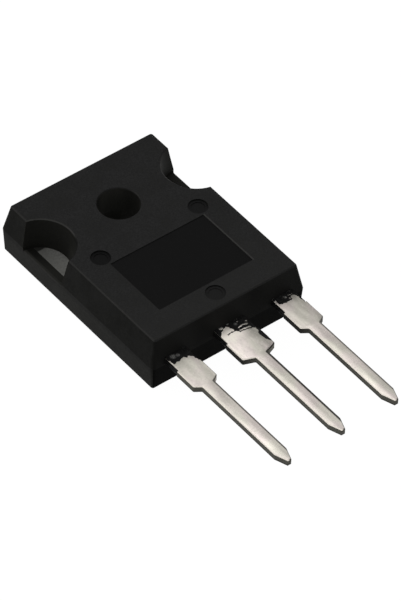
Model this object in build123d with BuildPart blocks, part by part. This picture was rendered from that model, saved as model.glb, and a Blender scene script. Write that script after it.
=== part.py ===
"""Three-lead through-hole power transistor in a large plastic package with a metal back.

A thick copper tab carries the silicon die and comes out as the centre lead. Two thinner outer
leads end in bond posts beside it, aluminium wires join the posts to the die, and a black epoxy
body is moulded round all of it. The mounting hole and the two side notches are moulded too.

Frame: millimetres. The origin is the centre of the mounting hole on the seating face, which is
the back of the package. +Z runs up the hole to the marked front, the leads point to -Y, and the
lead row runs along X with the control lead at -X.
"""
import os
from math import atan2, radians, tan

from build123d import *

os.makedirs("parts", exist_ok=True)

# ---------------------------------------------------------------- driving dimensions
# Moulded body, measured on the parting plane, where it is widest
body_width = 15.6
body_length = 20.2
body_height = 4.9
hole_to_head = 5.55  # hole centre to the head end of the body
parting_height = 2.3  # seating face to the parting plane, which is also the leads' underside
upper_inset = 0.5  # how far draft pulls each side in at the front face
lower_inset = 0.16  # and at the seating face
body_corner_radius = 0.35
face_corner_radius = 0.2  # at the front and seating faces
front_edge_bevel = 0.1
bevel_angle = 45  # degrees from the upright, on every broken edge

# Mounting hole and side notches
hole_diameter = 3.65
hole_rim_bevel = 0.06
lining_thickness = 1.8  # plastic between the mounting hole and the metal tab
notch_offset = 0.15  # notch centre beyond the body's side
notch_radius = 2.57  # at the tab's front face
notch_draft = 6.7  # degrees
notch_sill_bevel = 0.1  # along the outer edge of the notch's floor

# Shallow marks on the front face
marking_width = 9.5
marking_length = 6.45
marking_depth = 0.05
marking_centre_y = -8.35
pin_mark_diameter = 1.7
pin_mark_depth = 0.12
pin_core_diameter = 1.2
pin_core_depth = 0.05  # below the floor of the pin mark
pin_mark_spread = 10.0  # between the pair of marks beside the hole
pin_mark_pair_y = -4.1
pin_mark_single_y = -12.7

# Copper tab
tab_width = 13.8
tab_thickness = 2.0
tab_length = 16.5  # what shows at the back
head_rim = 1.0  # plastic between the tab and the head end
tab_corner_cut = 1.0
ledge_length = 0.5  # the tab's front half runs on under the plastic at the lead end
ledge_height = 1.2
groove_width = 0.6  # two V grooves across the tab's front face hold the plastic
groove_depth = 0.25
groove_gap = 0.3  # from the die attach to each groove

# Leads
lead_pitch = 5.45
lead_thickness = 0.6
lead_length = 14.4  # lead end of the body to the tip
pin_width = 1.2
tip_taper_length = 1.15
tip_width = 0.35
tip_corner_radius = 0.12
shoulder_length = 3.75  # lead end of the body to the end of the wide part
shoulder_run_out = 0.4  # along the lead, from the wide part to the pin's width
root_length = 1.62  # lead end of the body to the cut dam bar
root_step = 0.12  # each side, where the dam bar was cut proud of the lead
outer_shoulder_width = 2.36
centre_shoulder_width = 3.28
lead_corner_radius = 0.16
lead_edge_break = 0.07  # rolled-over edges of the stamped leads' top face
joggle_start = 0.15  # tab's ledge to the bend where the centre lead leaves the tab's level
joggle_run = 0.7  # along the lead, while it climbs to the lead plane

# Bond posts on the outer leads, inside the body
post_width = 3.4
post_length = 1.35
post_setback = 0.6  # lead end of the body to the post
post_shift = 0.35  # post's centre towards the middle of the package
post_corner_radius = 0.3

# Die and its attach layer
die_width = 6.4
die_length = 5.2
die_thickness = 0.25
die_centre_y = -8.4
attach_thickness = 0.08
attach_margin = 0.25  # solder that shows round the die
attach_corner_radius = 0.4

# Bond wires
power_wire_diameter = 0.4
power_wire_count = 3
power_wire_spacing = 1.05
power_wire_reach = 2.4  # die's lead-end edge to the power feet
power_wire_row_x = 1.65  # middle of the row of power feet on the die
control_wire_diameter = 0.2
control_wire_reach = 0.6  # die's edges to the control foot
loop_rise = 0.75  # wire's highest run above the post
foot_length = 2.5  # wedge feet, in wire diameters
foot_width = 1.5
foot_height = 0.75
axis_height = 0.55  # wire's axis above the pad, in wire diameters
heel_reach = 1.75  # foot's centre to the bend where the wire leaves the pad, in diameters
loop_crest = 0.32  # where the wire levels off, as a share of the span
loop_fall = 0.62  # and where it starts down

# ---------------------------------------------------------------- derived places
head_y = hole_to_head
lead_end_y = head_y - body_length
body_centre_y = (head_y + lead_end_y) / 2
tab_head_y = head_y - head_rim
tab_foot_y = tab_head_y - tab_length
ledge_y = tab_foot_y - ledge_length
lining_diameter = hole_diameter + 2 * lining_thickness
notch_x = body_width / 2 + notch_offset
lead_top = parting_height + lead_thickness
tip_y = lead_end_y - lead_length
die_floor = tab_thickness + attach_thickness
die_top = die_floor + die_thickness
die_foot_y = die_centre_y - die_length / 2
groove_reach = die_length / 2 + attach_margin + groove_gap + groove_width / 2
post_centre_y = lead_end_y + post_setback + post_length / 2
post_x = lead_pitch - post_shift
bevel_height = body_height - front_edge_bevel
notch_rim_radius = notch_radius + (bevel_height - tab_thickness) * tan(radians(notch_draft))
body_levels = [  # height, inset of every side from the parting outline, corner radius
    (0, lower_inset, face_corner_radius),
    (parting_height, 0, body_corner_radius),
    (bevel_height, upper_inset, face_corner_radius),
    (body_height, upper_inset + front_edge_bevel, face_corner_radius - front_edge_bevel),
]
pin_mark_spots = [
    (-pin_mark_spread / 2, pin_mark_pair_y),
    (pin_mark_spread / 2, pin_mark_pair_y),
    (0, pin_mark_single_y),
]


def draw_lead(inner_y, shoulder_width):
    """Face of one lead about its own axis, from its inner end to the tapered tip."""
    shoulder = shoulder_width / 2
    root = shoulder - root_step
    root_y = lead_end_y - root_length
    shoulder_y = lead_end_y - shoulder_length
    neck_y = shoulder_y - shoulder_run_out
    with BuildLine() as edge:
        Polyline(
            (0, inner_y),
            (root, inner_y),
            (root, root_y),
            (shoulder, root_y),
            (shoulder, shoulder_y),
            (pin_width / 2, neck_y),
            (pin_width / 2, tip_y + tip_taper_length),
            (tip_width / 2, tip_y),
            (0, tip_y),
        )
        mirror(about=Plane.YZ)
    face = make_face(edge.edges())
    fillet(
        face.vertices().filter_by_position(Axis.Y, neck_y, shoulder_y),
        radius=lead_corner_radius,
    )
    tip_corners = face.vertices().filter_by_position(Axis.Y, tip_y, tip_y)
    fillet(tip_corners, radius=tip_corner_radius)


def break_top_edges(lead):
    """Bevel the edge of a lead's top face all round."""
    top_face = lead.faces().sort_by(Axis.Z)[-1]
    chamfer(top_face.outer_wire().edges(), lead_edge_break)


def make_wire(diameter, pad, post):
    """One aluminium wire in the active part, looped from a pad on the die to a post."""
    rise = post.Z - pad.Z
    flat = Vector(post.X - pad.X, post.Y - pad.Y, 0)
    span = flat.length
    axis = axis_height * diameter
    heel = heel_reach * diameter
    crest = rise + loop_rise + axis
    side_plane = Plane(origin=pad, x_dir=flat, z_dir=flat.cross(Vector(0, 0, 1)))
    with BuildLine(side_plane) as loop:
        Polyline(
            (0, axis),
            (heel, axis),
            (loop_crest * span, crest),
            (loop_fall * span, crest),
            (span - heel, rise + axis),
            (span, rise + axis),
        )
    with BuildSketch(Plane(origin=loop.line @ 0, z_dir=loop.line % 0)) as section:
        Circle(diameter / 2)
    sweep(section.sketch, path=loop.line, transition=Transition.RIGHT)
    for foot in (pad, post):
        with BuildSketch(Plane(origin=foot, x_dir=flat, z_dir=(0, 0, 1))) as wedge:
            Rectangle(foot_length * diameter, foot_width * diameter)
        extrude(wedge.sketch, amount=foot_height * diameter)


def finish(piece, name):
    """Label a finished piece and write its file."""
    piece.part.label = name
    export_step(piece.part, f"parts/{name}.step")


# ---------------------------------------------------------------- copper tab and centre lead
# The lead's own strip is thin: its flat outline is cut to a side profile that climbs from the
# tab's level to the lead plane with the same thickness all the way.
slope = atan2(lead_top - tab_thickness, joggle_run)
mitre = lead_thickness * tan(slope / 2)
joggle_y = ledge_y - joggle_start
climb_end_y = joggle_y - joggle_run
strip_start_y = ledge_y + joggle_start

with BuildPart() as centre_lead:
    with BuildSketch(Plane.XY.offset(tab_thickness - lead_thickness)):
        draw_lead(strip_start_y, centre_shoulder_width)
    extrude(amount=lead_top - tab_thickness + lead_thickness)
    break_top_edges(centre_lead)
    with BuildSketch(Plane.YZ):
        with BuildLine():
            Polyline(
                (strip_start_y, tab_thickness),
                (joggle_y, tab_thickness),
                (climb_end_y, lead_top),
                (tip_y, lead_top),
                (tip_y, parting_height),
                (climb_end_y - mitre, parting_height),
                (joggle_y - mitre, tab_thickness - lead_thickness),
                (strip_start_y, tab_thickness - lead_thickness),
                close=True,
            )
        make_face()
    extrude(amount=centre_shoulder_width / 2, both=True, mode=Mode.INTERSECT)

with BuildPart() as tab:
    with BuildSketch() as back_face:
        with Locations((0, (tab_head_y + tab_foot_y) / 2)):
            Rectangle(tab_width, tab_length)
        chamfer(back_face.vertices().group_by(Axis.Y)[-1], tab_corner_cut)
    extrude(amount=tab_thickness)
    with BuildSketch(Plane.XY.offset(tab_thickness - ledge_height)):
        with Locations((0, tab_foot_y)):
            Rectangle(tab_width, 2 * ledge_length)
    extrude(amount=ledge_height)
    with BuildSketch(Plane.YZ):
        for groove_y in (die_centre_y - groove_reach, die_centre_y + groove_reach):
            with BuildLine():
                Polyline(
                    (groove_y - groove_width / 2, tab_thickness),
                    (groove_y, tab_thickness - groove_depth),
                    (groove_y + groove_width / 2, tab_thickness),
                    close=True,
                )
            make_face()
    extrude(amount=tab_width / 2, both=True, mode=Mode.SUBTRACT)
    with BuildSketch():
        Circle(lining_diameter / 2)
    extrude(amount=tab_thickness, mode=Mode.SUBTRACT)
    add(centre_lead.part)
finish(tab, "tab_with_centre_lead")

# ---------------------------------------------------------------- outer leads
outer_leads = []
for side, name in ((-1, "control_lead"), (1, "power_lead")):
    with BuildPart() as lead:
        with BuildSketch(Plane(origin=(side * lead_pitch, 0, parting_height))):
            draw_lead(post_centre_y, outer_shoulder_width)
            with Locations((-side * post_shift, post_centre_y)):
                RectangleRounded(post_width, post_length, post_corner_radius)
        extrude(amount=lead_thickness)
        break_top_edges(lead)
    finish(lead, name)
    outer_leads.append(lead)

# ---------------------------------------------------------------- die and die attach
with BuildPart() as die_attach:
    with BuildSketch(Plane.XY.offset(tab_thickness)):
        with Locations((0, die_centre_y)):
            RectangleRounded(
                die_width + 2 * attach_margin,
                die_length + 2 * attach_margin,
                attach_corner_radius,
            )
    extrude(amount=attach_thickness)
finish(die_attach, "die_attach_solder")

with BuildPart() as die:
    with BuildSketch(Plane.XY.offset(die_floor)):
        with Locations((0, die_centre_y)):
            Rectangle(die_width, die_length)
    extrude(amount=die_thickness)
finish(die, "silicon_die")

# ---------------------------------------------------------------- bond wires
wires = []
with BuildPart() as control_wire:
    make_wire(
        control_wire_diameter,
        Vector(
            -die_width / 2 + control_wire_reach,
            die_foot_y + control_wire_reach,
            die_top,
        ),
        Vector(-post_x, post_centre_y, lead_top),
    )
finish(control_wire, "control_bond_wire")
wires.append(control_wire)

for index in range(power_wire_count):
    row_x = (index - (power_wire_count - 1) / 2) * power_wire_spacing
    with BuildPart() as power_wire:
        make_wire(
            power_wire_diameter,
            Vector(power_wire_row_x + row_x, die_foot_y + power_wire_reach, die_top),
            Vector(post_x + row_x, post_centre_y, lead_top),
        )
    finish(power_wire, f"power_bond_wire_{index + 1}")
    wires.append(power_wire)

# ---------------------------------------------------------------- moulded body
with BuildPart() as mould_body:
    # Two drafted halves meet at the parting plane, and a bevel breaks the front face's edge
    for height, inset, corner_radius in body_levels:
        with BuildSketch(Plane.XY.offset(height)):
            with Locations((0, body_centre_y)):
                RectangleRounded(
                    body_width - 2 * inset,
                    body_length - 2 * inset,
                    corner_radius,
                )
    loft(ruled=True)

    # Side notches open the front down to the tab's bare metal, with a bevelled rim and sill
    with BuildSketch(Plane.XY.offset(tab_thickness)):
        with Locations((-notch_x, 0), (notch_x, 0)):
            Circle(notch_radius)
    extrude(amount=bevel_height - tab_thickness, taper=-notch_draft, mode=Mode.SUBTRACT)
    with BuildSketch(Plane.XY.offset(bevel_height)):
        with Locations((-notch_x, 0), (notch_x, 0)):
            Circle(notch_rim_radius)
    extrude(amount=front_edge_bevel, taper=-bevel_angle, mode=Mode.SUBTRACT)
    with BuildSketch(Plane.XY.offset(tab_thickness - notch_sill_bevel)):
        with Locations((-notch_x, 0), (notch_x, 0)):
            Circle(notch_radius - notch_sill_bevel)
        Rectangle(body_width, body_length, mode=Mode.SUBTRACT)
    extrude(amount=notch_sill_bevel, taper=-bevel_angle, mode=Mode.SUBTRACT)

    # Mounting hole, its rim broken too
    with Locations((0, 0, body_height)):
        CounterSinkHole(
            hole_diameter / 2,
            hole_diameter / 2 + hole_rim_bevel,
            counter_sink_angle=2 * bevel_angle,
        )

    # Shallow marks: the smooth marking field and the round marks of the ejector pins
    with BuildSketch(Plane.XY.offset(body_height)):
        with Locations((0, marking_centre_y)):
            Rectangle(marking_width, marking_length)
    extrude(amount=-marking_depth, mode=Mode.SUBTRACT)
    with BuildSketch(Plane.XY.offset(body_height)):
        with Locations(pin_mark_spots):
            Circle(pin_mark_diameter / 2)
    extrude(amount=-pin_mark_depth, mode=Mode.SUBTRACT)
    with BuildSketch(Plane.XY.offset(body_height - pin_mark_depth)):
        with Locations(pin_mark_spots):
            Circle(pin_core_diameter / 2)
    extrude(amount=-pin_core_depth, mode=Mode.SUBTRACT)

    # The epoxy was cast round everything it holds
    for held in (tab, *outer_leads, die_attach, die, *wires):
        add(held.part, mode=Mode.SUBTRACT)
finish(mould_body, "mould_body")
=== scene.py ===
"""Looks of the through-hole power transistor: finishes, resin flash on the lead roots, studio."""
import math

import bmesh
import bpy
from mathutils import Matrix, Vector, noise


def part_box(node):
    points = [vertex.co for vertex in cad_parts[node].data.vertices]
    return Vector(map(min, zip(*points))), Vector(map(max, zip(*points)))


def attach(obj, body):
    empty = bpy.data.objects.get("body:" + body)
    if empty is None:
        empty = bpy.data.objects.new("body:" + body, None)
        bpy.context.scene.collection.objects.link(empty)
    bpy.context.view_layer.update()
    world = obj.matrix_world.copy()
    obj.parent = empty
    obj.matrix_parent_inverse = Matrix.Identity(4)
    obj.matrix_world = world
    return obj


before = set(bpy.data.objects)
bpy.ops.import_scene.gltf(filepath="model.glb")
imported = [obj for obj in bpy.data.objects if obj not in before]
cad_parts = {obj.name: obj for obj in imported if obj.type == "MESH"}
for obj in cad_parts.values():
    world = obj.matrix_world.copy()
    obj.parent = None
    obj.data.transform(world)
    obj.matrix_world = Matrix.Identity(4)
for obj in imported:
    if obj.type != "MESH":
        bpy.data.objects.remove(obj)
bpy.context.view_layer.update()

MM = 0.001

# ---------------------------------------------------------------- places, all from the frame
body_low, body_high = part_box("mould_body")
lead_end_y = body_low.y  # the body's end that the leads come out of
front_z = body_high.z
lead_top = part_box("tab_with_centre_lead")[1].z
lead_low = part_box("power_lead")[0].z  # the leads' underside, which is also the parting plane

# Shapes that the CAD solids have, so that finishes and flash can follow them
lead_pitch = 5.45 * MM
lead_axes = {
    "control_lead": -lead_pitch,
    "tab_with_centre_lead": 0.0,
    "power_lead": lead_pitch,
}
marking_centre = Vector((0, -8.35)) * MM
marking_half = Vector((4.75, 3.225)) * MM
far_pin_marks = [Vector((-5.0, -4.1)) * MM, Vector((5.0, -4.1)) * MM]
near_pin_mark = Vector((0, -12.7)) * MM
pin_mark_radius = 0.85 * MM
hole_radius = 1.825 * MM
notch_x = 7.95 * MM  # centre of each notch, to either side of the hole
notch_radius = 2.9 * MM  # at the front
notch_floor_z = 2.0 * MM
pin_half = 0.6 * MM
shoulder_reach = 3.75 * MM  # from the body's lead end
shoulder_half = {
    "control_lead": 1.18 * MM,
    "tab_with_centre_lead": 1.64 * MM,
    "power_lead": 1.18 * MM,
}
root_reach = 1.62 * MM  # where the dam bar was cut
root_step = 0.12 * MM  # how far each side of the root lies inside the shoulder's
end_draft = 0.5 / 2.6  # how much the lead end leans in per unit of height over the parting plane


# ---------------------------------------------------------------- node helpers
class Tree:
    """Short calls that add nodes to one material and return their output sockets."""

    def __init__(self, name):
        self.material = bpy.data.materials.new(name)
        self.material.use_nodes = True
        self.tree = self.material.node_tree
        self.tree.nodes.clear()
        output = self.tree.nodes.new("ShaderNodeOutputMaterial")
        self.shader = self.tree.nodes.new("ShaderNodeBsdfPrincipled")
        self.tree.links.new(self.shader.outputs[0], output.inputs["Surface"])
        place = self.tree.nodes.new("ShaderNodeTexCoord")
        self.place = place.outputs["Object"]
        split = self.tree.nodes.new("ShaderNodeSeparateXYZ")
        self.tree.links.new(self.place, split.inputs[0])
        self.x, self.y, self.z = split.outputs

    def plug(self, socket, value):
        """Sets a socket to a number or colour, or links another node's output to it."""
        if isinstance(value, bpy.types.NodeSocket):
            self.tree.links.new(value, socket)
        else:
            socket.default_value = value

    def math(self, operation, a, b=0.0):
        """One Math node; b is left out where the operation takes one number."""
        node = self.tree.nodes.new("ShaderNodeMath")
        node.operation = operation
        self.plug(node.inputs[0], a)
        self.plug(node.inputs[1], b)
        return node.outputs[0]

    def times(self, first, *others):
        """Masks and shares multiplied together."""
        product = first
        for other in others:
            product = self.math("MULTIPLY", product, other)
        return product

    def away(self, value, centre):
        """How far a value is from a centre, to either side."""
        return self.math("ABSOLUTE", self.math("SUBTRACT", value, centre))

    def step(self, value, low, high):
        """0 below low, 1 above high, smooth between; low above high turns it round."""
        node = self.tree.nodes.new("ShaderNodeMapRange")
        node.interpolation_type = "SMOOTHSTEP"
        self.plug(node.inputs["Value"], value)
        node.inputs["From Min"].default_value = min(low, high)
        node.inputs["From Max"].default_value = max(low, high)
        node.inputs["To Min"].default_value = 0.0 if low < high else 1.0
        node.inputs["To Max"].default_value = 1.0 if low < high else 0.0
        return node.outputs[0]

    def noise(self, size, detail=2.0, roughness=0.5, stretch=(1, 1, 1)):
        """Noise whose features are about size across, in metres."""
        scale = self.tree.nodes.new("ShaderNodeMapping")
        self.tree.links.new(self.place, scale.inputs["Vector"])
        scale.inputs["Scale"].default_value = [1 / (size * s) for s in stretch]
        node = self.tree.nodes.new("ShaderNodeTexNoise")
        self.tree.links.new(scale.outputs[0], node.inputs["Vector"])
        node.inputs["Scale"].default_value = 1.0
        node.inputs["Detail"].default_value = detail
        node.inputs["Roughness"].default_value = roughness
        return node.outputs["Fac"]

    def mixer(self, data_type, factor, a, b):
        """One Mix node, for colours or for numbers."""
        node = self.tree.nodes.new("ShaderNodeMix")
        node.data_type = data_type
        self.plug(node.inputs["Factor"], factor)
        self.plug(node.inputs["A"], a)
        self.plug(node.inputs["B"], b)
        return node

    def mix(self, factor, a, b):
        """Colour a where factor is 0 and b where it is 1."""
        return self.mixer("RGBA", factor, a, b).outputs["Result"]

    def tinted(self, colour, tint):
        """One colour times another."""
        node = self.mixer("RGBA", 1.0, colour, tint)
        node.blend_type = "MULTIPLY"
        return node.outputs["Result"]

    def blend(self, factor, a, b):
        """Number a where factor is 0 and b where it is 1."""
        return self.mixer("FLOAT", factor, a, b).outputs["Result"]

    def distance(self, centre):
        """Distance in plan from a point."""
        dx = self.math("SUBTRACT", self.x, centre[0])
        dy = self.math("SUBTRACT", self.y, centre[1])
        return self.math("SQRT", self.math("ADD", self.times(dx, dx), self.times(dy, dy)))

    def bump(self, height, depth, strength):
        """Relief up to depth metres high."""
        node = self.tree.nodes.new("ShaderNodeBump")
        node.inputs["Strength"].default_value = strength
        node.inputs["Distance"].default_value = depth
        self.plug(node.inputs["Height"], height)
        self.tree.links.new(node.outputs[0], self.shader.inputs["Normal"])

    def normal(self):
        """The surface normal's x, y and z."""
        node = self.tree.nodes.new("ShaderNodeNewGeometry")
        split = self.tree.nodes.new("ShaderNodeSeparateXYZ")
        self.tree.links.new(node.outputs["Normal"], split.inputs[0])
        return split.outputs


def grey(value, warm=0.0):
    """A grey, yellower where warm is above 0."""
    return (value, value, value * (1 - 2 * warm), 1)


def tin_tone(value, pink=0.5):
    """A warm tin grey; pinkish where pink is 1 and greenish where it is 0."""
    red, green, blue = 1.04 + 0.05 * pink, 1.01 - 0.025 * pink, 0.87 + 0.07 * pink
    return (value * red, value * green, value * blue, 1)


def olive(value):
    """The dull olive grey of sheared, tarnished metal."""
    return (value * 1.03, value, value * 0.86, 1)


# ---------------------------------------------------------------- materials
def make_epoxy():
    """Matte black moulding compound: filler grain and polished marks, with painted light and
    shade: a tone for each way a face looks, painted highlights on edges, a paler lower band on the
    flanks and painted shade in the notches and the hole.
    """
    t = Tree("epoxy")
    normal_x, normal_y, normal_z = t.normal()
    grain = t.noise(0.11 * MM, detail=3, roughness=0.6)
    cloud = t.noise(1.8 * MM, detail=4)
    patchy = t.noise(0.35 * MM, detail=3, roughness=0.6)
    uneven = t.step(t.blend(0.55, patchy, cloud), 0.38, 0.62)
    on_left = t.step(t.x, 0.1 * MM, 0.0)
    on_right = t.step(t.x, 0.0, 0.1 * MM)

    # Front, a little paler towards the leads
    front = t.mix(t.step(grain, 0.3, 0.7), grey(0.0115), grey(0.0205))
    front = t.mix(t.times(t.step(cloud, 0.35, 0.7), 0.45), front, grey(0.0122, 0.03))
    near_leads = t.step(t.y, -4 * MM, -14 * MM)
    front = t.mix(t.times(near_leads, 0.3), front, grey(0.0220, 0.02))

    # Flanks, with a paler lower band whose upper edge wavers: painted light standing for the
    # floor's bounce
    flank = t.mix(uneven, grey(0.0076, 0.04), grey(0.0120, 0.03))
    waver = t.times(t.math("SUBTRACT", cloud, 0.5), 0.9 * MM)
    floor_bounce_band = t.step(t.math("ADD", t.z, waver), 2.05 * MM, 1.6 * MM)
    flank = t.mix(floor_bounce_band, flank, t.mix(uneven, grey(0.0115, 0.05), grey(0.0178, 0.04)))

    # Ends, paler over the lead roots and darkest below the parting plane, where painted shade
    # stands under the leads
    end = t.mix(patchy, grey(0.0048, 0.03), grey(0.0072, 0.03))
    for axis in lead_axes.values():
        over_root = t.step(t.away(t.x, axis), 2.6 * MM, 1.0 * MM)
        end = t.mix(t.times(over_root, 0.9), end, grey(0.0098, 0.03))
    below_parting_shade = t.times(t.step(t.z, lead_low, lead_low - 0.05 * MM), 0.7)
    end = t.mix(below_parting_shade, end, grey(0.0014, 0.03))

    # Painted light and shade: one black, toned by which way each face looks, palest on the front
    # and darkest on the ends
    upright = t.step(t.math("ABSOLUTE", normal_z), 0.75, 0.4)
    across = t.step(t.math("ABSOLUTE", normal_x), 0.6, 0.8)
    tone = t.mix(upright, front, t.mix(across, end, flank))

    # Polished marks on the front: the marking field and the ejector pins' marks
    over_front = t.step(t.z, front_z - 0.2 * MM, front_z - 0.19 * MM)
    soft = 0.03 * MM  # half the width over which a mark's edge fades
    wall_share = 0.03 * MM  # half of how far the polish runs on past the field's -X edge
    off_x = t.away(t.x, marking_centre.x - wall_share)
    off_y = t.away(t.y, marking_centre.y)
    field_half_x = marking_half.x + wall_share
    smooth = t.times(
        t.step(off_x, field_half_x + soft, field_half_x - soft),
        t.step(off_y, marking_half.y + soft, marking_half.y - soft),
    )

    def pin_mark(centre):
        return t.step(t.distance(centre), pin_mark_radius + soft, pin_mark_radius - soft)

    for centre, polish in zip(far_pin_marks, (0.95, 0.7)):
        smooth = t.math("MAXIMUM", smooth, t.times(pin_mark(centre), polish))
    smooth = t.times(smooth, over_front)
    polished = t.mix(patchy, grey(0.0026), grey(0.0040))
    tone = t.mix(smooth, tone, polished)
    tone = t.mix(t.times(pin_mark(near_pin_mark), over_front, 0.45), tone, polished)

    # Notch walls, toned as painted light and shade: the left one with a painted highlight at its
    # near end, the right one with painted shade at its foot
    beside_left, beside_right = (
        t.step(t.distance((x, 0)), notch_radius + 0.12 * MM, notch_radius + 0.06 * MM)
        for x in (-notch_x, notch_x)
    )
    above_floor = t.step(t.z, notch_floor_z - 0.02 * MM, notch_floor_z - 0.01 * MM)
    beside_notch = t.times(t.math("MAXIMUM", beside_left, beside_right), above_floor)
    left_wall_shading = t.mix(patchy, grey(0.0085, 0.06), grey(0.0130, 0.06))
    near_end_highlight = t.times(t.step(normal_y, 0.02, 0.3), t.step(t.z, 3.9 * MM, 3.0 * MM))
    left_wall_shading = t.mix(near_end_highlight, left_wall_shading, grey(0.0180, 0.06))
    right_wall_shading = t.mix(patchy, grey(0.0125, 0.04), grey(0.0180, 0.04))
    foot = t.step(t.z, 3.4 * MM, 2.2 * MM)
    right_wall_shading = t.mix(foot, right_wall_shading, grey(0.0095, 0.05))
    tone = t.mix(t.times(beside_notch, upright), tone, t.mix(on_right, left_wall_shading, right_wall_shading))

    # Painted shade along the near part of the left notch's rim
    rim_shade = t.times(
        t.step(t.z, front_z - 0.5 * MM, front_z - 0.15 * MM),
        t.step(normal_z, 0.95, 0.85),
        t.step(t.y, -0.3 * MM, -1.2 * MM),
        on_left,
        beside_notch,
    )
    tone = t.mix(t.times(rim_shade, 0.75), tone, grey(0.003, 0.05))

    # Mounting hole: its wall toned as painted light and shade, palest where it faces along Y,
    # darker facing -X and darkest facing +X
    beside_hole = t.step(t.distance((0, 0)), hole_radius + 0.05 * MM, hole_radius + 0.02 * MM)
    bore_shading = t.mix(t.step(normal_x, -0.5, -1.0), grey(0.031, 0.06), grey(0.0120, 0.06))
    bore_shading = t.mix(t.step(normal_x, 0.0, 0.7), bore_shading, grey(0.0075, 0.06))
    tone = t.mix(t.times(beside_hole, upright), tone, bore_shading)

    # Sill of plastic beside the tab, in painted shade and light: darker towards its far end, its
    # own tone on the right, and palest along its outer edge on the left
    under_front = t.step(t.z, front_z - 0.4 * MM, front_z - 0.5 * MM)
    on_sill = t.times(beside_notch, under_front, t.step(normal_z, 0.6, 0.8))
    sill_shading = t.mix(t.step(t.y, 2.0 * MM, -1.5 * MM), grey(0.0060, 0.06), grey(0.0165, 0.06))
    sill_shading = t.mix(on_right, sill_shading, grey(0.0130, 0.06))
    sill_shading = t.mix(t.times(patchy, 0.5), sill_shading, grey(0.0060, 0.06))
    sill_shading = t.mix(t.step(t.x, -7.44 * MM, -7.58 * MM), sill_shading, grey(0.0210, 0.05))
    tone = t.mix(on_sill, tone, sill_shading)

    # Painted highlights where light catches edges: the flanks' bevels, the left notch's far rim
    # and the field's +X wall
    rising = t.times(t.step(normal_z, 0.45, 0.6), t.step(normal_z, 0.9, 0.8))
    far_rim = t.times(
        beside_notch,
        t.step(t.z, front_z - 0.15 * MM, front_z - 0.1 * MM),
        on_left,
        t.step(t.y, -1.3 * MM, -0.5 * MM),
    )
    field_wall = t.times(
        t.step(t.x, marking_half.x - 0.01 * MM, marking_half.x),
        t.step(t.x, marking_half.x + 0.13 * MM, marking_half.x + 0.10 * MM),
        t.step(off_y, marking_half.y + soft, marking_half.y),
        over_front,
    )
    highlight_and_wear = t.times(rising, t.math("MAXIMUM", far_rim, across))
    highlight_and_wear = t.math("MAXIMUM", highlight_and_wear, t.times(field_wall, 0.9))
    tone = t.mix(highlight_and_wear, tone, t.mix(patchy, grey(0.028, 0.03), grey(0.047, 0.03)))
    t.plug(t.shader.inputs["Base Color"], tone)

    rough = t.blend(grain, 0.5, 0.68)
    t.plug(t.shader.inputs["Roughness"], t.blend(smooth, rough, 0.45))
    # Below the parting plane on the lead end, gloss is taken off too, as part of its painted shade
    under_lead_end = t.times(below_parting_shade, t.step(normal_y, -0.6, -0.8))
    t.plug(t.shader.inputs["Specular IOR Level"], t.blend(under_lead_end, 0.03, 0.0))
    relief = t.math("ADD", grain, t.times(cloud, 0.6))
    t.bump(t.times(relief, t.blend(smooth, 1.0, 0.2)), 0.02 * MM, 0.5)
    return t.material


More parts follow.
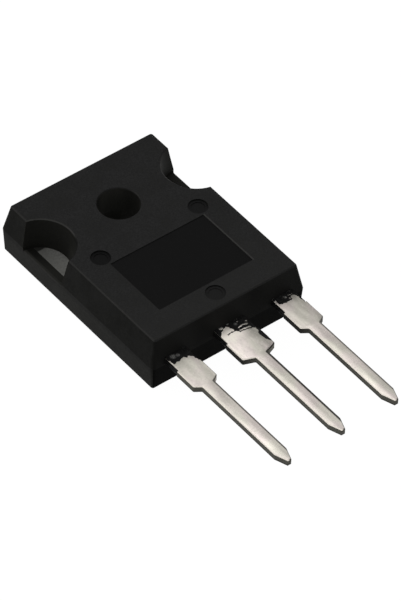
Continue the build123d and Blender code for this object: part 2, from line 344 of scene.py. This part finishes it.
def make_tin(
    lead, shoulder, tip, tip_from, bright_patch_reach, bright_patch_part, sides, edge, edge_start, step_face
):
    """Matte tin on one stamped lead, with dull sheared sides, stained roots, and painted
    reflection and highlights on its plated face and edges.

    Parts run across the lead, from -1 at its -X side to 1 at its +X side.
    shoulder: values across its plated face, at the -X side, the middle and the +X side; their fall
    from -X is painted reflection
    tip, tip_from: value of the painted highlight near the tip, and the part from which it grows
    towards -X
    bright_patch_reach, bright_patch_part: where a bright patch begins and is full
    sides: tones of the sheared faces beside the shoulder, the pin and the tip
    edge, edge_start: tone of the pin's +X margin and rolled edge, painted dark as their dark
    reflection, and the part where it starts
    step_face: tone of the shoulder's end on the +X side
    """
    t = Tree(f"tin_{lead}")
    normal_x, normal_y, normal_z = t.normal()
    reach = t.math("SUBTRACT", lead_end_y, t.y)
    on_pin = t.step(reach, shoulder_reach, shoulder_reach + 0.4 * MM)
    offset = t.math("SUBTRACT", t.x, lead_axes[lead])
    part = t.math("DIVIDE", offset, t.blend(on_pin, shoulder_half[lead], pin_half))

    patches = t.noise(1.3 * MM, detail=2, stretch=(1, 2, 1))
    mottle = t.noise(0.17 * MM, detail=4, roughness=0.6)
    streaks = t.noise(0.22 * MM, detail=3, stretch=(1, 7, 1))
    ripple = t.noise(0.45 * MM, detail=2, stretch=(1, 2.5, 1))
    blotches = t.noise(0.6 * MM, detail=2, stretch=(1, 4, 1))

    # Plated face: palest along the -X side, as painted reflection, and paler again towards the
    # tip, as a painted highlight
    wander = t.times(t.math("SUBTRACT", ripple, 0.5), 0.6)
    wandering = t.math("ADD", part, wander)

    def plated(left, middle, right):
        falling = t.mix(t.step(wandering, -1.05, 0.1), grey(left), grey(middle))
        return t.mix(t.step(wandering, 0.1, 0.75), falling, grey(right))

    tone = t.mix(on_pin, plated(*shoulder), plated(0.60, 0.385, 0.36))
    tip_highlight = t.times(t.step(reach, 7.5 * MM, 10.5 * MM), t.step(part, tip_from, -0.7))
    tone = t.mix(t.times(tip_highlight, 0.6), tone, grey(tip))

    # Its patchy colour, dark dots, bright flecks and a bright patch near the root on the -X side
    yellowish, pinkish = (1.05, 1.005, 0.89, 1), (1.09, 0.985, 0.93, 1)
    tone = t.tinted(tone, t.mix(t.step(patches, 0.38, 0.62), yellowish, pinkish))
    tone = t.tinted(tone, t.mix(t.step(blotches, 0.3, 0.7), grey(0.86), grey(1.08)))
    dots = t.times(t.step(mottle, 0.55, 0.70), 0.40)
    tone = t.mix(dots, tone, tin_tone(0.30))
    flecks = t.times(t.step(mottle, 0.46, 0.32), 0.12)
    tone = t.mix(flecks, tone, tin_tone(0.85))
    bright_patch = t.times(t.step(reach, *bright_patch_reach), t.step(part, *bright_patch_part))
    tone = t.mix(t.times(bright_patch, 0.85), tone, tin_tone(0.82))

    # Sheared faces, darkest at their foot and where resin has crept along the root
    sheared = t.step(t.math("ABSOLUTE", normal_z), 0.45, 0.25)
    beside_shoulder, beside_pin, beside_tip = sides
    side_tone = t.mix(t.step(reach, 3.6 * MM, 4.2 * MM), beside_shoulder, beside_pin)
    side_tone = t.mix(t.step(reach, 5 * MM, 12 * MM), side_tone, beside_tip)
    side_tone = t.mix(t.times(streaks, 0.5), side_tone, grey(0.03, 0.04))
    stepped = t.times(
        t.step(normal_y, -0.6, -0.85),
        t.step(part, 0.0, 0.2),
        t.step(reach, 5 * MM, 4.5 * MM),
    )
    side_tone = t.mix(stepped, side_tone, step_face)
    foot = t.step(t.z, lead_low + 0.16 * MM, lead_low + 0.06 * MM)
    side_tone = t.mix(t.times(foot, 0.65), side_tone, grey(0.012, 0.04))
    tone = t.mix(sheared, tone, side_tone)
    on_root = t.step(reach, root_reach + 0.02 * MM, root_reach - 0.05 * MM)
    tone = t.mix(t.times(sheared, on_root), tone, grey(0.008, 0.05))

    # Rolled edges between the plated and the sheared faces; the +X one and the pin's +X margin are
    # painted dark and not metallic, as painted dark reflection
    rolled = t.times(t.step(normal_z, 0.25, 0.45), t.step(normal_z, 0.95, 0.85))
    right = t.step(part, -0.1, 0.1)
    tone = t.mix(rolled, tone, t.mix(right, tin_tone(0.56), edge))
    margin = t.times(
        t.step(part, edge_start, edge_start + 0.14), on_pin, t.step(normal_z, 0.9, 0.95), 0.92
    )
    tone = t.mix(margin, tone, edge)
    tarnish_and_dark_reflection = t.math("MAXIMUM", t.times(rolled, right), margin)
    tarnish_and_dark_reflection = t.math("MAXIMUM", sheared, tarnish_and_dark_reflection)

    # The tab's front face where the notches bare it: dull metal, partly darkened as painted shade,
    # paler towards the notch's deep end, and with painted shade over one far corner
    on_tab = t.step(t.y, lead_end_y, lead_end_y + 0.05 * MM)
    bared = t.times(on_tab, t.step(normal_z, 0.5, 0.9))
    deep = t.step(t.math("ABSOLUTE", t.x), 6.8 * MM, 5.6 * MM)
    dull_and_shaded = t.mix(deep, grey(0.125, 0.03), grey(0.190, 0.03))
    dull_and_shaded = t.mix(t.times(t.step(mottle, 0.38, 0.64), 0.4), dull_and_shaded, grey(0.085, 0.03))
    far_corner_shade = t.times(t.step(t.y, 1.7 * MM, 1.85 * MM), t.step(t.x, 0.1 * MM, 0.0))
    dull_and_shaded = t.mix(t.times(far_corner_shade, 0.92), dull_and_shaded, grey(0.012, 0.05))
    tone = t.mix(bared, tone, dull_and_shaded)

    # Its back: rolled, and clouded in places
    rolling = t.noise(0.18 * MM, detail=4, stretch=(1, 30, 1))
    back = t.mix(rolling, tin_tone(0.50), tin_tone(0.66))
    cloudy = t.noise(3.0 * MM, detail=5, roughness=0.6)
    back = t.mix(t.times(t.step(cloudy, 0.45, 0.7), 0.35), back, tin_tone(0.40, 1.0))
    tone = t.mix(t.times(on_tab, t.step(normal_z, -0.5, -0.9)), tone, back)
    t.plug(t.shader.inputs["Base Color"], tone)

    non_metallic_share = t.math("MAXIMUM", tarnish_and_dark_reflection, t.times(bared, 0.75))
    t.plug(t.shader.inputs["Metallic"], t.math("SUBTRACT", 1.0, non_metallic_share))
    t.shader.inputs["Specular IOR Level"].default_value = 0.05
    rough = t.blend(mottle, 0.30, 0.5)
    t.plug(t.shader.inputs["Roughness"], t.blend(t.math("MAXIMUM", sheared, rolled), rough, 0.6))
    t.bump(t.math("ADD", mottle, streaks), 0.006 * MM, 0.5)
    return t.material


def make_flash(glints):
    """Cured resin film: black and glossy, with paler specks, partly where it is thin or chipped
    and partly painted glints.
    """
    t = Tree("resin_flash")
    speck = t.noise(0.06 * MM, detail=3, roughness=0.7)
    thin = t.noise(0.3 * MM, detail=2)
    pale = t.times(t.step(speck, 0.56, 0.66), t.step(thin, 0.5, 0.65))
    tone = t.mix(pale, grey(0.005), grey(0.06, 0.02))
    for lead, x, reach, radius in glints:
        centre = (lead_axes[lead] + x * MM, lead_end_y - reach * MM)
        patch = t.step(t.distance(centre), radius * MM, 0.3 * radius * MM)
        tone = t.mix(t.times(patch, t.step(thin, 0.3, 0.6)), tone, grey(0.05, 0.02))
        tone = t.mix(t.times(patch, t.step(speck, 0.42, 0.6)), tone, grey(0.16, 0.02))
    t.plug(t.shader.inputs["Base Color"], tone)
    t.plug(t.shader.inputs["Roughness"], t.blend(speck, 0.25, 0.6))
    t.shader.inputs["Specular IOR Level"].default_value = 0.06
    t.bump(speck, 0.02 * MM, 0.8)
    return t.material


def make_hidden(name, dark, light):
    """A bare metal or silicon piece sealed inside the body: two tones of its own grain."""
    t = Tree(name)
    grain = t.noise(0.1 * MM, detail=3)
    t.plug(t.shader.inputs["Base Color"], t.mix(grain, dark, light))
    t.plug(t.shader.inputs["Roughness"], t.blend(grain, 0.25, 0.45))
    t.shader.inputs["Metallic"].default_value = 1.0
    return t.material


def dress(node, material):
    """Gives a CAD node its finish."""
    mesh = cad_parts[node].data
    mesh.materials.clear()
    mesh.materials.append(material)


epoxy = make_epoxy()
dress("mould_body", epoxy)
outer_bright_patch = {"bright_patch_reach": (1.7 * MM, 1.5 * MM), "bright_patch_part": (-0.80, -0.88)}
lead_looks = {
    "control_lead": {
        "shoulder": (0.51, 0.43, 0.37),
        "tip": 0.82,
        "tip_from": 0.5,
        **outer_bright_patch,
        "sides": (olive(0.15), olive(0.16), olive(0.14)),
        "edge": tin_tone(0.09),
        "edge_start": 0.64,
        "step_face": tin_tone(0.55),
    },
    "tab_with_centre_lead": {
        "shoulder": (0.72, 0.47, 0.22),
        "tip": 0.60,
        "tip_from": -0.1,
        "bright_patch_reach": (2.0 * MM, 0.8 * MM),
        "bright_patch_part": (0.75, -0.2),
        "sides": (olive(0.012), olive(0.15), olive(0.15)),
        "edge": olive(0.015),
        "edge_start": 0.56,
        "step_face": olive(0.20),
    },
    "power_lead": {
        "shoulder": (0.53, 0.36, 0.26),
        "tip": 0.78,
        "tip_from": 0.1,
        **outer_bright_patch,
        "sides": (olive(0.012), olive(0.09), olive(0.14)),
        "edge": tin_tone(0.11),
        "edge_start": 0.66,
        "step_face": olive(0.05),
    },
}
for lead, look in lead_looks.items():
    dress(lead, make_tin(lead, **look))
dress("silicon_die", make_hidden("silicon", grey(0.25), (0.5, 0.5, 0.54, 1)))
dress("die_attach_solder", make_hidden("solder", grey(0.3), grey(0.5)))
aluminium = make_hidden("aluminium_wire", grey(0.62), grey(0.8))
for wire in ("control_bond_wire", "power_bond_wire_1", "power_bond_wire_2", "power_bond_wire_3"):
    dress(wire, aluminium)

# ---------------------------------------------------------------- resin flash on the lead roots
# Each film lies on its lead's top face. Points are x from the lead's axis and reach from the
# body's lead end, in mm. Strokes are added to the outline's inside, and bare holds strips and
# spots that the film leaves open; both have half widths.
root_films = {
    "control_lead": {
        "outline": [
            (-1.06, -0.14), (-1.06, 0.26), (-1.0, 0.35), (-0.92, 0.48), (-0.95, 0.74),
            (-0.88, 0.9), (-0.72, 0.89), (-0.55, 0.77), (-0.34, 0.88), (-0.13, 0.80),
            (0.13, 0.68), (0.31, 0.75), (0.36, 0.90), (0.51, 0.84), (0.66, 0.80), (0.80, 0.97),
            (0.90, 1.14), (0.90, 1.36), (1.02, 1.54), (1.06, 1.6), (1.06, -0.14),
        ],
        "strokes": [([(1.04, 1.55), (1.12, 1.66), (1.12, 1.86)], 0.05)],
        "bare": [],
    },
    "tab_with_centre_lead": {
        "outline": [
            (-1.52, -0.14), (-1.52, 0.98), (-1.42, 0.67), (-1.05, 0.32), (-0.87, 0.22),
            (-0.70, 0.12), (-0.41, 0.06), (-0.31, 0.23), (-0.20, 0.50), (-0.12, 0.84),
            (0.04, 1.02), (0.14, 1.20), (0.42, 1.25), (0.81, 1.29), (1.08, 1.42), (1.26, 1.37),
            (1.42, 1.60), (1.44, 1.84), (1.21, 2.22), (1.22, 2.57), (1.32, 3.05), (1.50, 3.42),
            (1.62, 3.42), (1.62, 1.64), (1.52, 1.6), (1.52, -0.14),
        ],
        "strokes": [([(-0.86, 0.87), (-0.50, 0.82), (-0.10, 0.88)], 0.05)],
        "bare": [
            ([(-0.93, -0.07), (-0.86, -0.03)], 0.16),
            ([(0.37, 0.75), (0.76, 0.68), (1.13, 0.78)], 0.07),
            ([(0.26, 1.08), (0.73, 1.09), (1.12, 1.19)], 0.065),
            ([(-0.22, -0.12), (-0.14, -0.11)], 0.05),
            ([(0.62, 0.13), (0.65, 0.13)], 0.045),
            ([(1.25, 0.50), (1.29, 0.51)], 0.05),
        ],
    },
    "power_lead": {
        "outline": [
            (-1.06, -0.14), (-1.06, 0.14), (-1.0, 0.22), (-0.88, 0.30), (-0.87, 0.47),
            (-0.84, 0.65), (-0.65, 0.77), (-0.46, 0.76), (-0.28, 0.89), (-0.10, 0.82),
            (0.10, 0.81), (0.21, 0.87), (0.43, 0.81), (0.42, 0.55), (0.55, 0.42), (0.78, 0.49),
            (0.90, 0.75), (0.93, 1.25), (1.04, 1.42), (1.06, 1.5), (1.06, -0.14),
        ],
        "strokes": [],
        "bare": [
            ([(-0.94, 0.19), (-0.90, 0.21)], 0.05),
            ([(0.24, 0.60), (0.27, 0.61)], 0.06),
            ([(0.37, 0.28), (0.40, 0.30)], 0.04),
            ([(0.02, 0.40), (0.05, 0.42)], 0.04),
            ([(-0.10, 0.19), (-0.07, 0.19)], 0.035),
            ([(0.50, 0.30), (0.54, 0.33)], 0.045),
            ([(0.66, 0.28), (0.70, 0.30)], 0.04),
        ],
    },
}

# Patches of the resin with paler specks, partly chipped grain and partly painted glints: lead,
# then x, reach and radius in mm
flash_glints = [
    ("control_lead", -0.45, 0.18, 0.34),
    ("control_lead", -0.02, 0.26, 0.22),
    ("tab_with_centre_lead", -0.2, -0.08, 0.16),
    ("tab_with_centre_lead", 0.35, 0.3, 0.2),
    ("power_lead", 0.0, 0.32, 0.16),
]

# Sizes of the films, in mm
film_cell = 0.03
film_start = -0.16  # reach at which the grid of cells starts, inside the body
film_buried = 0.13  # how far the film runs on inside the body
film_ragged = 0.07  # how far the outline strays
film_rim = 0.003  # height of the film's edge over the lead
film_swell = 0.022  # what the film rises by, once film_slope inside its outline
film_slope = 0.08
noise.seed_set(1)  # noise_vector would otherwise take its offsets from the clock


def edge_distance(x, reach, points, closed):
    """Distance in mm from a point to a run of straight edges."""
    nearest = 1e9
    for (x1, r1), (x2, r2) in zip(points, points[1:] + points[:1] if closed else points[1:]):
        run_x, run_r = x2 - x1, r2 - r1
        along = ((x - x1) * run_x + (reach - r1) * run_r) / (run_x * run_x + run_r * run_r)
        along = max(0.0, min(1.0, along))
        nearest = min(nearest, math.hypot(x - x1 - run_x * along, reach - r1 - run_r * along))
    return nearest


def inside(x, reach, points):
    """True where the point is within the closed outline."""
    within = False
    for (x1, r1), (x2, r2) in zip(points, points[1:] + points[:1]):
        if (r1 > reach) != (r2 > reach) and x < x1 + (x2 - x1) * (reach - r1) / (r2 - r1):
            within = not within
    return within


def film_cover(film, half, x, reach):
    """How far inside the film a point lies, in mm; below 0 it is outside."""
    stray = noise.noise_vector(Vector((x * 6, reach * 6, 0.3))) * film_ragged
    stray += noise.noise_vector(Vector((x * 17, reach * 17, 7.1))) * film_ragged * 0.5
    x_in, reach_in = x + stray.x, reach + stray.y
    outline = film["outline"]
    cover = edge_distance(x_in, reach_in, outline, closed=True)
    if not inside(x_in, reach_in, outline):
        cover = -cover
    for points, width in film["strokes"]:
        cover = max(cover, width - edge_distance(x_in, reach_in, points, closed=False))
    for points, width in film["bare"]:
        cover = min(cover, edge_distance(x_in, reach_in, points, closed=False) - width)
    return min(cover, half - abs(x), reach + film_buried)


def film_sheet(made, axis_x, half, film):
    """Adds the film's upper surface: grid cells, cut off where the cover falls to 0."""
    longest = max(reach for x, reach in film["outline"]) + 0.3
    columns = math.ceil(2 * half / film_cell)
    rows = math.ceil((longest - film_start) / film_cell)
    places, cover = {}, {}
    for row in range(rows + 1):
        for column in range(columns + 1):
            place = (-half + column * 2 * half / columns, film_start + row * film_cell)
            limit = half if place[1] > root_reach / MM else half - root_step / MM
            places[row, column] = place
            cover[row, column] = film_cover(film, limit, *place)
    corners = {}

    def corner(key, x, reach, depth):
        """The vertex at a grid corner or at a cut, made once; depth is the cover there."""
        if key not in corners:
            lumps = 0.7 + 0.9 * noise.noise(Vector((x * 9, reach * 9, 2.0)))
            swell = film_swell * min(1.0, depth / film_slope) * max(0.25, lumps)
            height = lead_top + (film_rim + swell) * MM
            corners[key] = made.verts.new((axis_x + x * MM, lead_end_y - reach * MM, height))
        return corners[key]

    for row in range(rows):
        for column in range(columns):
            ring = [(row, column), (row, column + 1), (row + 1, column + 1), (row + 1, column)]
            outline = []
            for a, b in zip(ring, ring[1:] + ring[:1]):
                if cover[a] > 0:
                    outline.append(corner(a, *places[a], cover[a]))
                if (cover[a] > 0) != (cover[b] > 0):
                    first, last = sorted((a, b))
                    share = cover[first] / (cover[first] - cover[last])
                    share = max(0.02, min(0.98, share))  # so that no face is a sliver
                    x, reach = (p + (q - p) * share for p, q in zip(places[first], places[last]))
                    outline.append(corner((first, last), x, reach, 0.0))
            if len(outline) > 2:
                made.faces.new(outline)


def wall_sheet(made, across, along, place):
    """Adds a grid of faces; place(u, v) gives each point for u and v from 0 to 1."""
    grid = [
        [made.verts.new(place(column / across, row / along)) for column in range(across + 1)]
        for row in range(along + 1)
    ]
    for below, above in zip(grid, grid[1:]):
        for column in range(across):
            made.faces.new((below[column], below[column + 1], above[column + 1], above[column]))


def place_number(place):
    """A number for sorting, which no two places share."""
    return place.x * math.pi + place.y * math.e + place.z


def close_crust(made, sink):
    """Turns open sheets into closed shells whose other face is where sink puts each point."""
    back = bmesh.ops.extrude_face_region(made, geom=list(made.faces))
    for item in back["geom"]:
        if isinstance(item, bmesh.types.BMVert):
            item.co = sink(item.co)
    bmesh.ops.recalc_face_normals(made, faces=made.faces)
    # The extrusion's own order differs from run to run
    made.verts.sort(key=lambda vert: place_number(vert.co))
    made.edges.sort(key=lambda edge: place_number(edge.verts[0].co + edge.verts[1].co))
    made.faces.sort(key=lambda face: place_number(face.calc_center_median()))


def add_piece(made, name, material):
    """Makes a resin piece, which rides with the body, out of a finished mesh."""
    mesh = bpy.data.meshes.new(name)
    made.to_mesh(mesh)
    made.free()
    for face in mesh.polygons:
        face.use_smooth = True
    mesh.set_sharp_from_angle(angle=math.radians(50))
    mesh.materials.append(material)
    piece = bpy.data.objects.new(name, mesh)
    bpy.context.scene.collection.objects.link(piece)
    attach(piece, "root")


def make_film(lead, film, material):
    """Ragged film on a lead's top face, its underside just inside the metal."""
    half = shoulder_half[lead] / MM - 0.02
    sunk_z = lead_top - 0.004 * MM
    made = bmesh.new()
    film_sheet(made, lead_axes[lead], half, film)
    close_crust(made, lambda co: Vector((co.x, co.y, sunk_z)))
    add_piece(made, f"root_flash_{lead}", material)


def make_skirt(lead, side, material):
    """Resin left on the side of a lead's root, between the body and the cut dam bar."""
    face_x = lead_axes[lead] + side * (shoulder_half[lead] - root_step)
    sunk_x = face_x - side * 0.004 * MM
    start_y, end_y = lead_end_y + 0.1 * MM, lead_end_y - root_reach + 0.02 * MM
    rim, least, usual, uneven = 0.002, 0.006, 0.02, 0.03  # thicknesses in mm

    def place(u, v):
        y, z = start_y + (end_y - start_y) * u, lead_low + (lead_top - lead_low) * v
        lumps = noise.noise(Vector((y / MM * 5, z / MM * 5, side * 3 + face_x / MM)))
        thick = max(least, usual + uneven * lumps)
        fade = min(1.0, 8 * min(u, 1 - u), 6 * min(v, 1 - v))
        return (face_x + side * (rim + thick * fade) * MM, y, z)

    made = bmesh.new()
    wall_sheet(made, 32, 10, place)
    close_crust(made, lambda co: Vector((sunk_x, co.y, co.z)))
    add_piece(made, f"side_flash_{lead}_{'right' if side > 0 else 'left'}", material)


def make_seam(name, start_x, end_x, material):
    """Low ridge that the mould's parting leaves across the body's lead end."""
    middle_z, half_width, height = 2.55 * MM, 0.04 * MM, 0.012 * MM
    swing, sunk = 0.02 * MM, 0.006 * MM

    def face_y(z):
        return lead_end_y + (z - lead_low) * end_draft

    def place(u, v):
        x = start_x + (end_x - start_x) * u
        swung = swing * noise.noise(Vector((x / MM * 1.5, 4.0, 1.0)))
        z = middle_z + swung + (2 * v - 1) * half_width
        crest = math.cos((v - 0.5) * math.pi) * min(1.0, 12 * min(u, 1 - u))
        highlight_and_wear = 0.7 + 0.5 * noise.noise(Vector((x / MM * 4, 9.0, 2.0)))
        return (x, face_y(z) - height * crest * highlight_and_wear, z)

    made = bmesh.new()
    wall_sheet(made, 80, 6, place)
    close_crust(made, lambda co: Vector((co.x, face_y(co.z) + sunk, co.z)))
    add_piece(made, name, material)


flash = make_flash(flash_glints)
for lead, film in root_films.items():
    make_film(lead, film, flash)
    for side in (-1, 1):
        make_skirt(lead, side, flash)
make_seam("parting_ridge_left", -4.15 * MM, -1.8 * MM, epoxy)
make_seam("parting_ridge_right", 1.8 * MM, 4.15 * MM, epoxy)


# ---------------------------------------------------------------- studio
def seen_directly(tree):
    """1 for what the camera, gloss and glass see directly, and 0 for light on the object."""
    path = tree.nodes.new("ShaderNodeLightPath")
    seen = path.outputs["Is Camera Ray"]
    for ray in ("Is Glossy Ray", "Is Transmission Ray"):
        either = tree.nodes.new("ShaderNodeMath")
        either.operation = "MAXIMUM"
        tree.links.new(seen, either.inputs[0])
        tree.links.new(path.outputs[ray], either.inputs[1])
        seen = either.outputs[0]
    return seen


def mix_shaders(tree, factor, plain, white, output):
    """Sends plain to the output where factor is 0, and white where it is 1."""
    mix = tree.nodes.new("ShaderNodeMixShader")
    tree.links.new(factor, mix.inputs[0])
    tree.links.new(plain.outputs[0], mix.inputs[1])
    tree.links.new(white.outputs[0], mix.inputs[2])
    tree.links.new(mix.outputs[0], output.inputs["Surface"])


def make_world(ambient):
    """Even soft light all round, white where it is seen directly or in a reflection."""
    world = bpy.data.worlds.new("studio")
    world.use_nodes = True
    tree = world.node_tree
    tree.nodes.clear()
    output = tree.nodes.new("ShaderNodeOutputWorld")
    dim = tree.nodes.new("ShaderNodeBackground")
    white = tree.nodes.new("ShaderNodeBackground")
    for background, strength in ((dim, ambient), (white, 1.0)):
        background.inputs["Color"].default_value = (1, 1, 1, 1)
        background.inputs["Strength"].default_value = strength
    mix_shaders(tree, seen_directly(tree), dim, white, output)
    bpy.context.scene.world = world


def make_floor(half, glow, white_strength):
    """Pale floor under the part, which keeps a faint shadow.

    Where it is seen directly, glow is the share of plain white in it, and the rest is lit.
    """
    material = bpy.data.materials.new("floor")
    material.use_nodes = True
    tree = material.node_tree
    tree.nodes.clear()
    output = tree.nodes.new("ShaderNodeOutputMaterial")
    matte = tree.nodes.new("ShaderNodeBsdfDiffuse")
    matte.inputs["Color"].default_value = (0.6, 0.6, 0.6, 1)
    white = tree.nodes.new("ShaderNodeEmission")
    white.inputs["Strength"].default_value = white_strength
    share = tree.nodes.new("ShaderNodeMath")
    share.operation = "MULTIPLY"
    tree.links.new(seen_directly(tree), share.inputs[0])
    share.inputs[1].default_value = glow
    mix_shaders(tree, share.outputs[0], matte, white, output)
    mesh = bpy.data.meshes.new("floor")
    corners = [(-half, -half, 0), (half, -half, 0), (half, half, 0), (-half, half, 0)]
    mesh.from_pydata(corners, [], [(0, 1, 2, 3)])
    mesh.materials.append(material)
    floor = bpy.data.objects.new("floor", mesh)
    bpy.context.scene.collection.objects.link(floor)


def make_light(name, place, size, power):
    """Square softbox, aimed at the middle of the part."""
    lamp = bpy.data.lights.new(name, "AREA")
    lamp.shape = "SQUARE"
    lamp.size = size
    lamp.energy = power
    light = bpy.data.objects.new(name, lamp)
    light.location = place
    aim = Vector((0, -0.01, 0)) - Vector(place)
    light.rotation_euler = aim.to_track_quat("-Z", "Y").to_euler()
    bpy.context.scene.collection.objects.link(light)


def make_camera(place, azimuth, elevation, roll, lens):
    """Long lens above the part. Azimuth 0 looks along +Y and 90 along +X; all in degrees."""
    camera = bpy.data.objects.new("camera", bpy.data.cameras.new("camera"))
    turn, down = math.radians(azimuth), math.radians(elevation)
    level = math.cos(down)
    sight = Vector((math.sin(turn) * level, math.cos(turn) * level, -math.sin(down)))
    facing = sight.to_track_quat("-Z", "Y").to_matrix().to_4x4()
    tilt = Matrix.Rotation(math.radians(roll), 4, "Z")
    camera.matrix_world = Matrix.Translation(place) @ facing @ tilt
    camera.data.lens = lens
    camera.data.clip_start = 0.01
    camera.data.clip_end = 20
    bpy.context.scene.collection.objects.link(camera)
    bpy.context.scene.camera = camera


make_world(ambient=0.3)
make_floor(half=1.5, glow=0.9, white_strength=1.08)
make_light("key", place=(-0.2, 0.2, 0.45), size=0.9, power=2.6)
make_light("fill", place=(0.3, -0.25, 0.4), size=0.35, power=0.5)
make_camera(
    place=Vector((-182.053, -227.688, 289.3)) * MM,
    azimuth=40.021,
    elevation=45.371,
    roll=2.5041,
    lens=299.369,
)
bpy.context.scene.view_settings.view_transform = "Standard"
